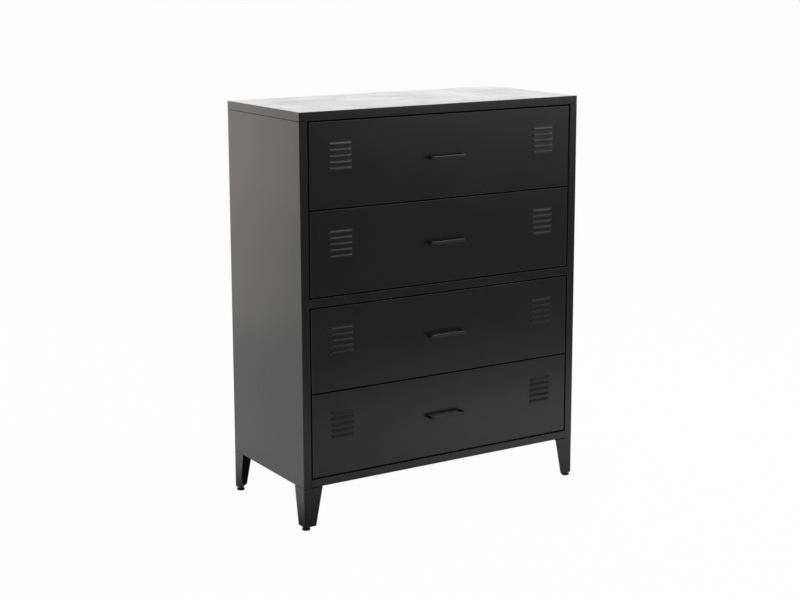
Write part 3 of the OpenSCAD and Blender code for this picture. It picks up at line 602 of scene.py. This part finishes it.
def pan_head_screw(radius, length, head_radius, head_height, pitch):
    """The head bears at z = 0 and the thread runs up; the recess is a cross with sloping walls"""
    rim, dome, seat = 0.35, 0.65, 0.97              # shares of the head's height and radius
    ridge_share = 0.45                              # how deep the thread is, in pitches
    sides, crown = 24, 8
    shank = [(0, length)] + list(reversed(threaded_rod(radius, 0.0, length, pitch)))
    head = []
    for n in range(crown + 1):
        turn = math.pi / 2 * n / crown
        head.append((head_radius * math.cos(turn) if n < crown else 0,
                     -head_height * rim - head_height * dome * math.sin(turn)))
    ridge = ridges(pitch, pitch * ridge_share)
    thread = lambda r, z, t: ridge(r, z, t) if z > 0 and r <= radius else r
    mesh = turned(shank + [(head_radius * seat, 0.0)] + head, sides, thread)
    screw = bpy.data.objects.new("screw", mesh)
    scene.collection.objects.link(screw)
    # each arm of the cross: half its length, half its width and its depth, at the mouth and inside
    mouth, inside = (0.62, 0.15, 1.3), (0.30, 0.10, 0.38)
    cross = bmesh.new()
    for turn in (0, math.pi / 2):
        arm = bmesh.ops.create_cube(cross, size=1)["verts"]
        for v in arm:
            half_l, half_w, depth = mouth if v.co.z < 0 else inside
            v.co = Vector((math.copysign(head_radius * half_l, v.co.x),
                           math.copysign(head_radius * half_w, v.co.y), -head_height * depth))
        bmesh.ops.rotate(cross, verts=arm, cent=(0, 0, 0), matrix=Matrix.Rotation(turn, 3, "Z"))
    tool_mesh = bpy.data.meshes.new("cross")
    cross.to_mesh(tool_mesh)
    cross.free()
    tool = bpy.data.objects.new("cross", tool_mesh)
    scene.collection.objects.link(tool)
    cut = screw.modifiers.new("recess", "BOOLEAN")
    cut.object, cut.operation, cut.solver = tool, "DIFFERENCE", "EXACT"
    cut.use_self = True
    apply_shape(screw)
    mesh = screw.data
    bpy.data.objects.remove(screw)
    bpy.data.objects.remove(tool)
    return mesh


def gather(name, parts):
    """One piece from copies of a mesh: parts are (mesh, matrix) pairs"""
    shape = bmesh.new()
    for mesh, where in parts:
        start = len(shape.verts)
        shape.from_mesh(mesh)
        shape.verts.ensure_lookup_table()
        moved = shape.verts[start:]
        bmesh.ops.transform(shape, matrix=where, verts=moved)
        if where.determinant() < 0:
            turned_over = {f for v in moved for f in v.link_faces}
            bmesh.ops.reverse_faces(shape, faces=list(turned_over))
    joined = bpy.data.meshes.new(name)
    shape.to_mesh(joined)
    shape.free()
    piece = bpy.data.objects.new(name, joined)
    scene.collection.objects.link(piece)
    return piece


def aimed(place, direction, spin=0.0):
    """Stands a part that is made along +Z at a place, pointing in a direction"""
    turn = Vector(direction).to_track_quat("Z", "Y").to_matrix().to_4x4()
    return Matrix.Translation(place) @ turn @ Matrix.Rotation(spin, 4, "Z")


def hexagon_nut(across, bore, height):
    """Nut with both faces chamfered to a circle; across is the radius at its corners"""
    steps, chamfer, face, past = 48, 0.12, 0.99, 1.01
    flat = across * math.cos(math.pi / 6)
    rim = height * chamfer

    def hexagon(radius, z, turn):
        if radius <= bore:
            return radius
        slice_turn = (turn + math.pi / 6) % (math.pi / 3) - math.pi / 6
        side = flat / math.cos(slice_turn)
        return side if rim < z < height - rim else min(side, radius)

    edge = flat * face
    profile = [(bore, 0), (edge, 0), (across, rim * past), (across, height - rim * past),
               (edge, height), (bore, height), (bore, 0)]
    return turned(profile, steps, hexagon)


random.seed(11)
small_head, leg_head = 2.4 * mm, 3.6 * mm
small_screw = pan_head_screw(radius=2 * mm, length=8 * mm, head_radius=3.8 * mm,
                             head_height=small_head, pitch=0.7 * mm)
leg_screw = pan_head_screw(radius=3 * mm, length=10 * mm, head_radius=5.5 * mm,
                           head_height=leg_head, pitch=1.0 * mm)
leg_nut = hexagon_nut(across=5.7 * mm, bore=3.05 * mm, height=5 * mm)
foot_nut = hexagon_nut(across=7.6 * mm, bore=4.05 * mm, height=6.5 * mm)


def islands(node):
    """Lowest and highest corner of each separate solid of a CAD node"""
    same_point = 1e-6
    shape = bmesh.new()
    shape.from_mesh(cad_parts[node].data)
    bmesh.ops.remove_doubles(shape, verts=shape.verts, dist=same_point)
    boxes, seen_verts = [], set()
    for start in shape.verts:
        if start in seen_verts:
            continue
        group, stack = [], [start]
        seen_verts.add(start)
        while stack:
            v = stack.pop()
            group.append(v.co.copy())
            for e in v.link_edges:
                w = e.other_vert(v)
                if w not in seen_verts:
                    seen_verts.add(w)
                    stack.append(w)
        boxes.append((Vector([min(c[n] for c in group) for n in range(3)]),
                      Vector([max(c[n] for c in group) for n in range(3)])))
    shape.free()
    return boxes


def screw_places(node, head_height, inward):
    """Where the CAD has each screw of a node, from its solids: the long axis is the screw's, and
    inward says for a place which way along that axis the thread points"""
    places = []
    for low, high in islands(node):
        size, centre = high - low, (low + high) / 2
        axis = max(range(3), key=lambda n: size[n])
        direction = Vector((0, 0, 0))
        direction[axis] = inward(centre, axis)
        base = centre.copy()
        base[axis] = (low if direction[axis] > 0 else high)[axis] + direction[axis] * head_height
        places.append(aimed(base, direction, random.uniform(0, math.pi)))
    return places


def panel_screw_way(centre, axis):
    """Which way along its axis a screw of the panels goes in"""
    if axis == 2:
        return 1                                    # up, through a side panel's flange
    if axis == 1:
        return -1                                   # in through the back panel
    return 1 if centre.x > 0 else -1                # through the rail's tab into the post


def add_fasteners(name, body, mesh, places, finish, node):
    fit(gather(name, [(mesh, place) for place in places]), body, finish, "zinc_steel", node)


places = screw_places("panel_screws", small_head, panel_screw_way)
add_fasteners("cabinet_screws", "cabinet", small_screw, places, bright_zinc, "panel_screws")
places = screw_places("leg_screws", leg_head, lambda centre, axis: 1)
add_fasteners("leg_bolts", "cabinet", leg_screw, places, bright_zinc, "leg_screws")


def nut_places(node):
    """Where the CAD has each nut of a node, each at a turn of its own"""
    places = []
    for low, high in islands(node):
        centre = (low + high) / 2
        places.append(Matrix.Translation((centre.x, centre.y, low.z))
                      @ Matrix.Rotation(random.uniform(0, math.pi), 4, "Z"))
    return places


add_fasteners("leg_bolt_nuts", "cabinet", leg_nut, nut_places("leg_nuts"), bright_zinc, "leg_nuts")
add_fasteners("foot_lock_nuts", "cabinet", foot_nut, nut_places("foot_nuts"), yellow_zinc,
              "foot_nuts")

# ---------------------------------------------------------------------------------------------
# Levelling feet: a black pad moulded round the end of a zinc-plated stud, with a collar that
# leaves a neck under the leg. The stud screws through the leg's foot plate and the nut on it.

pad_radius, pad_height, pad_ease, pad_steps = 10 * mm, 5 * mm, 1.2 * mm, 5
collar_radius, collar_ease, fillet = 5.5 * mm, 0.4 * mm, 1.2 * mm
socket_radius, socket_floor = 4.06 * mm, 2 * mm
stud_radius, stud_tip, stud_ease = 4 * mm, 3.3 * mm, 0.6 * mm
stud_pitch, stud_ridge, stud_core = 1.25 * mm, 0.55 * mm, 3.5 * mm
pad_sides, stud_sides = 40, 24
foot_plastic, tree, plastic_out = new_material("moulded_black_plastic")
plastic = tree.nodes.new("ShaderNodeBsdfPrincipled")
plastic.inputs["Base Color"].default_value = (0.03, 0.03, 0.031, 1)
spots = tree.nodes.new("ShaderNodeTexCoord")
texture = tree.nodes.new("ShaderNodeTexNoise")
texture.inputs["Scale"].default_value = 1800
texture.inputs["Detail"].default_value = 2
scuffs = tree.nodes.new("ShaderNodeTexNoise")
scuffs.inputs["Scale"].default_value = 120
scuffed = tree.nodes.new("ShaderNodeMapRange")
scuffed.inputs["To Min"].default_value = 0.3
scuffed.inputs["To Max"].default_value = 0.5
skin = tree.nodes.new("ShaderNodeBump")
skin.inputs["Strength"].default_value = 0.3
skin.inputs["Distance"].default_value = 0.0001
for made in (texture, scuffs):
    tree.links.new(spots.outputs["Object"], made.inputs["Vector"])
tree.links.new(scuffs.outputs["Fac"], scuffed.inputs["Value"])
tree.links.new(scuffed.outputs["Result"], plastic.inputs["Roughness"])
tree.links.new(texture.outputs["Fac"], skin.inputs["Height"])
tree.links.new(skin.outputs["Normal"], plastic.inputs["Normal"])
tree.links.new(plastic.outputs[0], plastic_out.inputs[0])

for corner in corners:
    low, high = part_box("foot_pad_" + corner)
    centre, top = (low + high) / 2, high.z
    pad = [(0, 0), (pad_radius - pad_ease, 0)]
    for n in range(1, pad_steps + 1):
        turn = math.pi / 2 * n / pad_steps
        pad.append((pad_radius - pad_ease + pad_ease * math.sin(turn),
                    pad_ease * (1 - math.cos(turn))))
    for n in range(0, pad_steps + 1):
        turn = math.pi / 2 * n / pad_steps
        pad.append((pad_radius - pad_ease + pad_ease * math.cos(turn),
                    pad_height - pad_ease + pad_ease * math.sin(turn)))
    pad += [(collar_radius + fillet, pad_height),
            (collar_radius + fillet / 4, pad_height + fillet / 3),
            (collar_radius, pad_height + fillet), (collar_radius, top - collar_ease),
            (collar_radius - collar_ease, top), (socket_radius, top),
            (socket_radius, socket_floor), (0, socket_floor)]
    piece = gather(corner + "_foot_pad",
                   [(turned(pad, pad_sides), Matrix.Translation((centre.x, centre.y, 0)))])
    fit(piece, "foot_" + corner, foot_plastic, "foot_plastic", "foot_pad_" + corner)
    low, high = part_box("foot_stud_" + corner)
    stud = [(0, low.z), (stud_tip, low.z)]
    stud += threaded_rod(stud_radius, low.z + stud_ease, high.z - stud_ease, stud_pitch)
    stud += [(stud_tip, high.z), (0, high.z)]
    ridge = ridges(stud_pitch, stud_ridge)
    thread = lambda r, z, t: ridge(r, z, t) if r > stud_core else r
    piece = gather(corner + "_foot_stud", [(turned(stud, stud_sides, thread),
                                            Matrix.Translation((centre.x, centre.y, 0)))])
    fit(piece, "foot_" + corner, bright_zinc, "zinc_steel", "foot_stud_" + corner)

# ---------------------------------------------------------------------------------------------
# Runners: zinc-plated channels. The cabinet's half has lips that keep the balls in and hooks for
# the posts' slots; the drawer's half is a smaller channel; a cage spaces the balls between them.

runner_gauge, runner_bend = 1 * mm, 1.4 * mm
lip, channel_deep = 2.5 * mm, 9 * mm
hook_half, hook_reach, hook_root, hook_taper = 6 * mm, 5.8 * mm, 0.9 * mm, 0.7
hook_in = (10 * mm, 8 * mm)                         # from the front and from the rear end


def channel(name, section, y0, y1, outward, radius, thickness):
    """A length of folded channel along Y, from its outer (x, z) section"""
    points = [(x, y, z) for x, z in section for y in (y0, y1)]
    panels = [(2 * n, 2 * n + 1, 2 * n + 3, 2 * n + 2) for n in range(len(section) - 1)]
    order = [len(panels) // 2] + [n for n in range(len(panels)) if n != len(panels) // 2]
    return sheet_metal(name, points, [panels[n] for n in order], outward, radius, thickness)


def join(piece, *others):
    """Adds other sheets of the same piece to it, as if spot welded"""
    shape = bmesh.new()
    for part in (piece, *others):
        shape.from_mesh(part.data)
    shape.to_mesh(piece.data)
    shape.free()
    for part in others:
        bpy.data.objects.remove(part)
    return piece


for side, s in (("left", -1), ("right", 1)):
    for i in range(1, 5):
        low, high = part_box("cabinet_runner_%s_%d" % (side, i))
        web = s * post_x
        edge = web - s * channel_deep
        section = [(edge, low.z + lip), (edge, low.z), (web, low.z), (web, high.z), (edge, high.z),
                   (edge, high.z - lip)]
        runner = channel("%s_post_runner_%d" % (side, i), section, low.y, high.y, (s, 0, 0),
                         runner_bend, runner_gauge)
        middle = (low.z + high.z) / 2
        hooks = []
        tip, root = web + s * hook_reach, web - s * hook_root
        for y in (low.y + hook_in[0], high.y - hook_in[1]):
            points = [(root, y, middle - hook_half), (tip, y, middle - hook_half * hook_taper),
                      (tip, y, middle + hook_half * hook_taper), (root, y, middle + hook_half)]
            hooks.append(sheet_metal("hook", points, [(0, 1, 2, 3)], (0, -1, 0), bend,
                                     runner_gauge))
        fit(join(runner, *hooks), "cabinet", bright_zinc, "zinc_steel",
            "cabinet_runner_%s_%d" % (side, i))
        low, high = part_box("drawer_runner_%s_%d" % (side, i))
        web, edge = (low.x, high.x) if s > 0 else (high.x, low.x)
        section = [(edge, low.z), (web, low.z), (web, high.z), (edge, high.z)]
        runner = channel("%s_drawer_runner_%d" % (side, i), section, low.y, high.y, (-s, 0, 0),
                         runner_bend, runner_gauge)
        fit(runner, "drawer_%d" % i, bright_zinc, "zinc_steel", "drawer_runner_%s_%d" % (side, i))

ball_radius, cage_gauge, cage_bend = 2 * mm, 0.6 * mm, 0.8 * mm
shortest_cage = 3 * ball_radius
steel_ball = bpy.data.meshes.new("ball")
shape = bmesh.new()
bmesh.ops.create_uvsphere(shape, u_segments=16, v_segments=10, radius=ball_radius)
shape.to_mesh(steel_ball)
shape.free()
for i in range(1, 5):
    solids = islands("ball_cages_%d" % i)
    balls = [s for s in solids if (s[1] - s[0]).y < shortest_cage]
    cages = [s for s in solids if (s[1] - s[0]).y > shortest_cage]
    piece = gather("ball_cages_of_drawer_%d" % i,
                   [(steel_ball, Matrix.Translation((a + b) / 2)) for a, b in balls])
    strips = []
    for low, high in cages:
        s = 1 if low.x > 0 else -1
        web, edge = (high.x, low.x) if s > 0 else (low.x, high.x)
        section = [(edge, low.z), (web, low.z), (web, high.z), (edge, high.z)]
        strips.append(channel("cage", section, low.y, high.y, (s, 0, 0), cage_bend, cage_gauge))
    fit(join(piece, *strips), "ball_cages_%d" % i, bright_zinc, "zinc_steel", "ball_cages_%d" % i)

# ---------------------------------------------------------------------------------------------
# Drawer fronts: pans folded back on all four edges, with a return round the back. Each has two
# vents of five louvres, lanced along their lower edge and pressed out with rounded shoulders.

front_return = 22 * mm
louvre_wide, louvre_high, louvre_out = 65 * mm, 8.5 * mm, 4 * mm
louvre_pitch, louvres = 14.5 * mm, 5
vent_in, vent_down = 82 * mm, 81 * mm
shoulder, brow = 4.5 * mm, 6.5 * mm
brow_slope = 0.245                                  # the share of the rise that is straight
# where the grid of a louvre has its lines, in mm from either end and down from the top
louvre_ends = [0, 0.6, 1.2, 1.9, 2.7, 3.6, 4.5, 12]
louvre_rows = [0, 0.7, 1.4, 2.2, 3.1, 4.1, 5.1, 5.9, 6.6, 7.5, 8.5]


def press_out(end, down):
    """How far a louvre stands out, by the distance from its nearer end and from its top edge"""
    t = min(1, down / brow)
    e = min(1, end / shoulder)
    rise = brow_slope * t + (1 - brow_slope) * t * t * (3 - 2 * t)
    return louvre_out * rise * e * e * (3 - 2 * e)


def louvre(shape, centre, y, top):
    """Adds one louvre and returns the edges of the hole that it leaves in the flat of the front"""
    half = louvre_wide / 2
    across = sorted({-half + d * mm for d in louvre_ends} | {half - d * mm for d in louvre_ends})
    downs = [d * mm for d in louvre_rows]
    grid = [[shape.verts.new((centre + u, y - press_out(half - abs(u), d), top - d))
             for u in across] for d in downs]
    for row, below in zip(grid, grid[1:]):
        for n in range(len(across) - 1):
            shape.faces.new((row[n], below[n], below[n + 1], row[n + 1]))
    edges = [shape.edges.get((a, b)) for a, b in zip(grid[0], grid[0][1:])]
    for n in (0, -1):
        edges += [shape.edges.get((a[n], b[n])) for a, b in zip(grid, grid[1:])]
    edges.append(shape.edges.new((grid[-1][0], grid[-1][-1])))
    return edges


def front_with_louvres(high):
    """What cuts the vents into the flat of a front; high is the front's highest corner"""
    square_on, same_plane = 0.99, 1e-5

    def add(shape):
        flat = max((f for f in shape.faces if f.normal.y < -square_on),
                   key=lambda f: f.calc_area())
        loops = [list(flat.edges)]
        y = flat.calc_center_median().y
        bmesh.ops.delete(shape, geom=[flat], context="FACES_ONLY")
        stack = (louvres - 1) * louvre_pitch + louvre_high
        for s in (-1, 1):
            for n in range(louvres):
                top = high.z - vent_down + stack / 2 - n * louvre_pitch
                loops.append(louvre(shape, s * (high.x - vent_in), y, top))
        fill_flat(shape, loops, (0, -1, 0))
        for face in shape.faces:
            face.normal_update()
            in_flat = abs(face.calc_center_median().y - y) < same_plane
            if in_flat and face.normal.y > square_on:
                face.normal_flip()
    return add


for i in range(1, 5):
    low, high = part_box("drawer_front_%d" % i)
    low = Vector((low.x, front_y, low.z))
    points, panels = tray(low, high, front_return, "+y")
    fit(sheet_metal("drawer_front_panel_%d" % i, points, panels, (0, -1, 0),
                    add=front_with_louvres(high)),
        "drawer_%d" % i, black_coat, "black_steel", "drawer_front_%d" % i)

# ---------------------------------------------------------------------------------------------
# Handles: a bow bent from solid bar with eased edges, powder coated with the rest and fixed by
# two screws from inside the drawer front.

bar_high, bar_thick, bar_ease, bow_radius = 7.5 * mm, 6.5 * mm, 3.0 * mm, 6 * mm
ease_steps, bow_steps = 6, 10
bar_section = []
for a, b, start in ((1, 1, 0), (-1, 1, 90), (-1, -1, 180), (1, -1, 270)):
    for n in range(ease_steps + 1):
        turn = math.radians(start + 90 * n / ease_steps)
        bar_section.append((a * (bar_thick / 2 - bar_ease) + bar_ease * math.cos(turn),
                            b * (bar_high / 2 - bar_ease) + bar_ease * math.sin(turn)))


def bow_handle(name, low, high):
    """Sweeps the bar's section along the bow: out from the front, across and back"""
    z = (low.z + high.z) / 2
    out = low.y + bar_thick / 2
    end = high.x - bar_thick / 2
    path = [((-end, high.y), (-1, 0))]
    for n in range(bow_steps + 1):
        turn = math.pi / 2 * n / bow_steps
        path.append(((-end + bow_radius - bow_radius * math.cos(turn),
                      out + bow_radius - bow_radius * math.sin(turn)),
                     (-math.cos(turn), -math.sin(turn))))
    path += [((-x, y), (-nx, ny)) for (x, y), (nx, ny) in reversed(path)]
    shape = bmesh.new()
    rings = []
    for (x, y), (nx, ny) in path:
        rings.append([shape.verts.new((x + u * nx, y + u * ny, z + v)) for u, v in bar_section])
    for a, b in zip(rings, rings[1:]):
        for n in range(len(bar_section)):
            m = (n + 1) % len(bar_section)
            shape.faces.new((a[n], a[m], b[m], b[n]))
    shape.faces.new(rings[0])
    shape.faces.new(rings[-1])
    bmesh.ops.recalc_face_normals(shape, faces=shape.faces)
    mesh = bpy.data.meshes.new(name)
    shape.to_mesh(mesh)
    shape.free()
    piece = bpy.data.objects.new(name, mesh)
    scene.collection.objects.link(piece)
    return piece


for i in range(1, 5):
    low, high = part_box("handle_%d" % i)
    fit(bow_handle("bow_handle_%d" % i, low, high), "drawer_%d" % i, black_coat, "black_steel",
        "handle_%d" % i)

# ---------------------------------------------------------------------------------------------
# Drawer boxes: 0.7 mm steel folded up from the floor, with a safe rim turned in along the top,
# and tabs at the front by which the box is screwed to the return of its front.

box_gauge, box_bend, box_rim, box_tab = 0.7 * mm, 1.2 * mm, 8 * mm, 12 * mm
box_lift = 15 * mm                                  # of its floor over the front's lower edge
for i in range(1, 5):
    low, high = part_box("drawer_box_%d" % i)
    x, front, back, top = high.x, low.y, high.y, high.z
    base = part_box("drawer_front_%d" % i)[0].z + box_lift
    points = [(-x, front, base), (x, front, base), (x, back, base), (-x, back, base),
              (-x, front, top), (x, front, top), (x, back, top), (-x, back, top),
              (-x + box_rim, front, top), (x - box_rim, front, top),
              (x - box_rim, back - box_rim, top), (-x + box_rim, back - box_rim, top),
              (-x + box_tab, front, base + box_tab), (-x + box_tab, front, top - box_tab),
              (x - box_tab, front, base + box_tab), (x - box_tab, front, top - box_tab)]
    panels = [(0, 1, 2, 3), (0, 3, 7, 4), (1, 2, 6, 5), (3, 2, 6, 7), (4, 7, 11, 8),
              (5, 6, 10, 9), (7, 6, 10, 11), (0, 12, 13, 4), (1, 14, 15, 5)]
    box = sheet_metal("drawer_box_shell_%d" % i, points, panels, (0, 0, -1), box_bend, box_gauge)
    drop, tab_top = low.z, base + box_gauge / 2
    foot_tab = [(-x + box_tab, front, drop), (x - box_tab, front, drop),
                (x - box_tab, front, tab_top), (-x + box_tab, front, tab_top)]
    tab = sheet_metal("tab", foot_tab, [(0, 1, 2, 3)], (0, -1, 0), box_bend, box_gauge)
    fit(join(box, tab), "drawer_%d" % i, black_coat, "black_steel", "drawer_box_%d" % i)


def drawer_screw_way(centre, axis):
    """Which way along its axis a screw of a drawer goes in"""
    if axis == 1:
        return -1                                   # forwards, into the handle or the front
    return 1 if centre.x > 0 else -1                # out through the box into the runner


for i in range(1, 5):
    places = screw_places("drawer_screws_%d" % i, small_head, drawer_screw_way)
    add_fasteners("screws_of_drawer_%d" % i, "drawer_%d" % i, small_screw, places, bright_zinc,
                  "drawer_screws_%d" % i)
